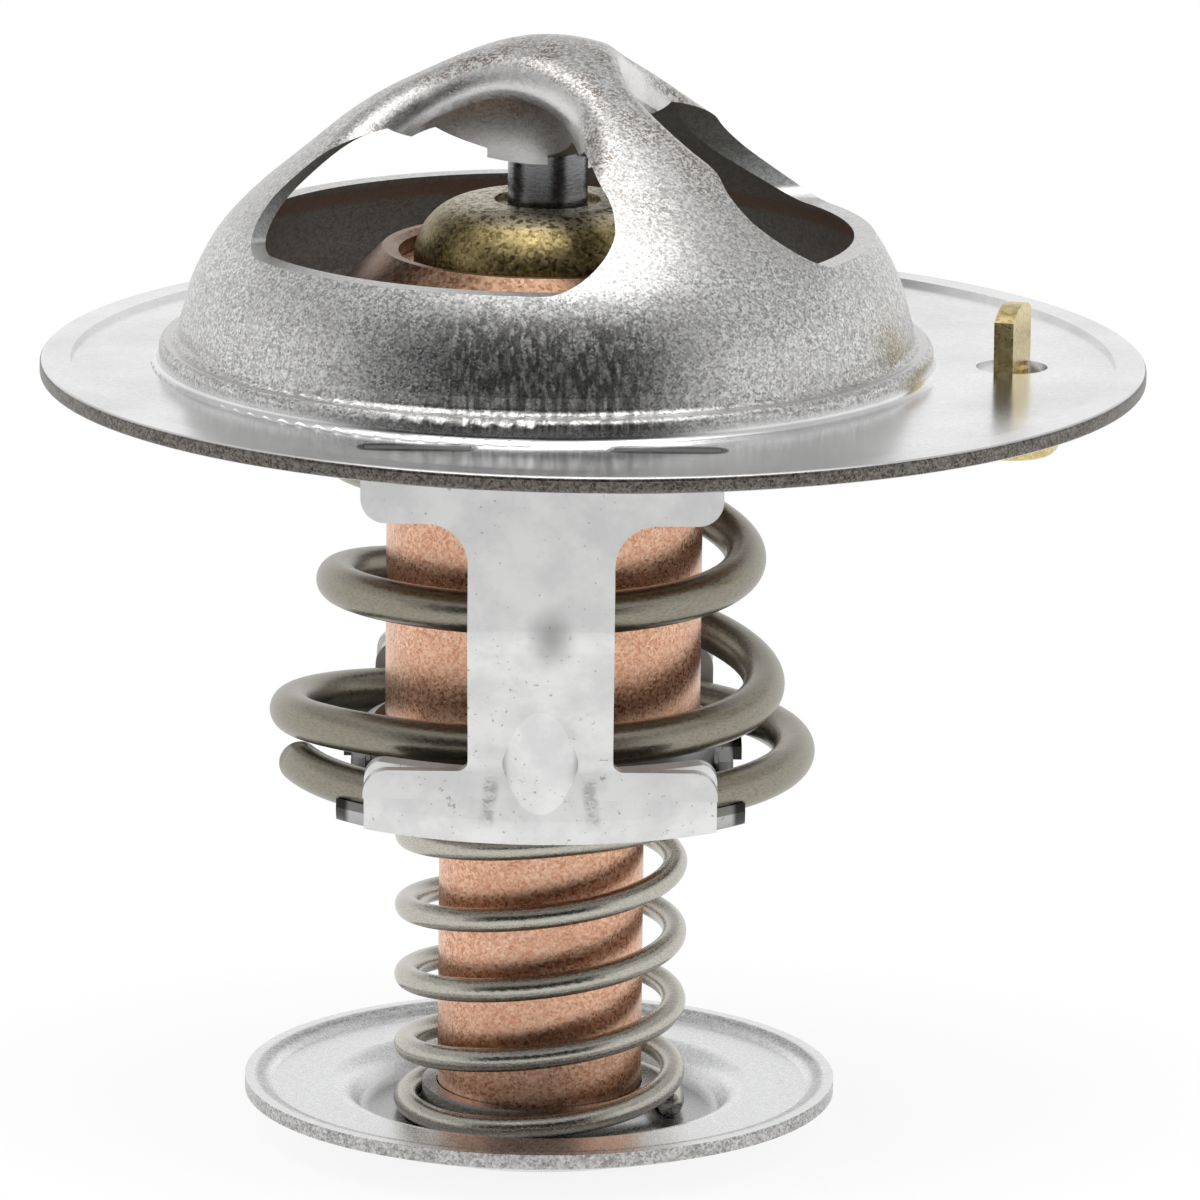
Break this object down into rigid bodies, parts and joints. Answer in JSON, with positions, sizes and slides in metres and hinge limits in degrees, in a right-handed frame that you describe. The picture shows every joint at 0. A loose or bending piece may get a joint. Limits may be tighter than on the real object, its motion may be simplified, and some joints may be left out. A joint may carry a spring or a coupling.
{
  "type": "engine cooling valve",
  "caption": "Wax-element engine coolant valve with an arched piston bridge on a round flange, a coil return spring between stamped legs and a sprung bypass disc.",
  "frame": {"origin": "where the valve axis meets the underside of the flange's rim band, which seats in the housing", "axes": "+Z along the valve axis towards the bridge's peak, +X towards the vent pin, -Y towards the front leg"},
  "size_m": [0.054, 0.054, 0.0548],
  "materials": {
    "dome_steel": "polished flange, tumbled dome",
    "zinc_leg": "matt zinc plate",
    "spring_steel": "satin drawn wire",
    "piston_steel": "ground",
    "copper": "blasted copper",
    "cap_brass": "dull brass",
    "valve_steel": "satin, warm tinted",
    "disc_steel": "tumbled satin",
    "pin_brass": "satin brass",
    "seal_rubber": "matt",
    "wax": "waxy",
    "ptfe": "matt"
  },
  "bodies": {
    "housing_side": {"flange_bridge": "dome_steel", "front_leg": "zinc_leg", "rear_leg": "zinc_leg", "spring_seat": "zinc_leg", "piston": "piston_steel", "backup_disc": "ptfe", "rubber_plug": "seal_rubber", "main_spring": "spring_steel"},
    "valve": {"element_cup": "copper", "guide_cap": "cap_brass", "valve_plate": "valve_steel", "wax_charge": "wax", "diaphragm": "seal_rubber", "snap_ring": "spring_steel", "bypass_spring": "spring_steel"},
    "bypass": {"bypass_disc": "disc_steel"},
    "vent": {"jiggle_pin": "pin_brass", "jiggle_weight": "pin_brass"}
  },
  "joints": [
    {"name": "valve_lift", "type": "slide", "parent": "housing_side", "child": "valve", "axis": [0, 0, -1], "range_m": [0, 0.0085], "stiffness_N_per_m": 6300, "springref_m": -0.005, "deforming": ["main_spring"]},
    {"name": "bypass_slide", "type": "slide", "parent": "valve", "child": "bypass", "axis": [0, 0, 1], "range_m": [0, 0.005], "stiffness_N_per_m": 2200, "springref_m": -0.0015, "deforming": ["bypass_spring"]},
    {"name": "jiggle_float", "type": "slide", "parent": "housing_side", "child": "vent", "axis": [0, 0, 1], "range_m": [0, 0.0013]}
  ]
}
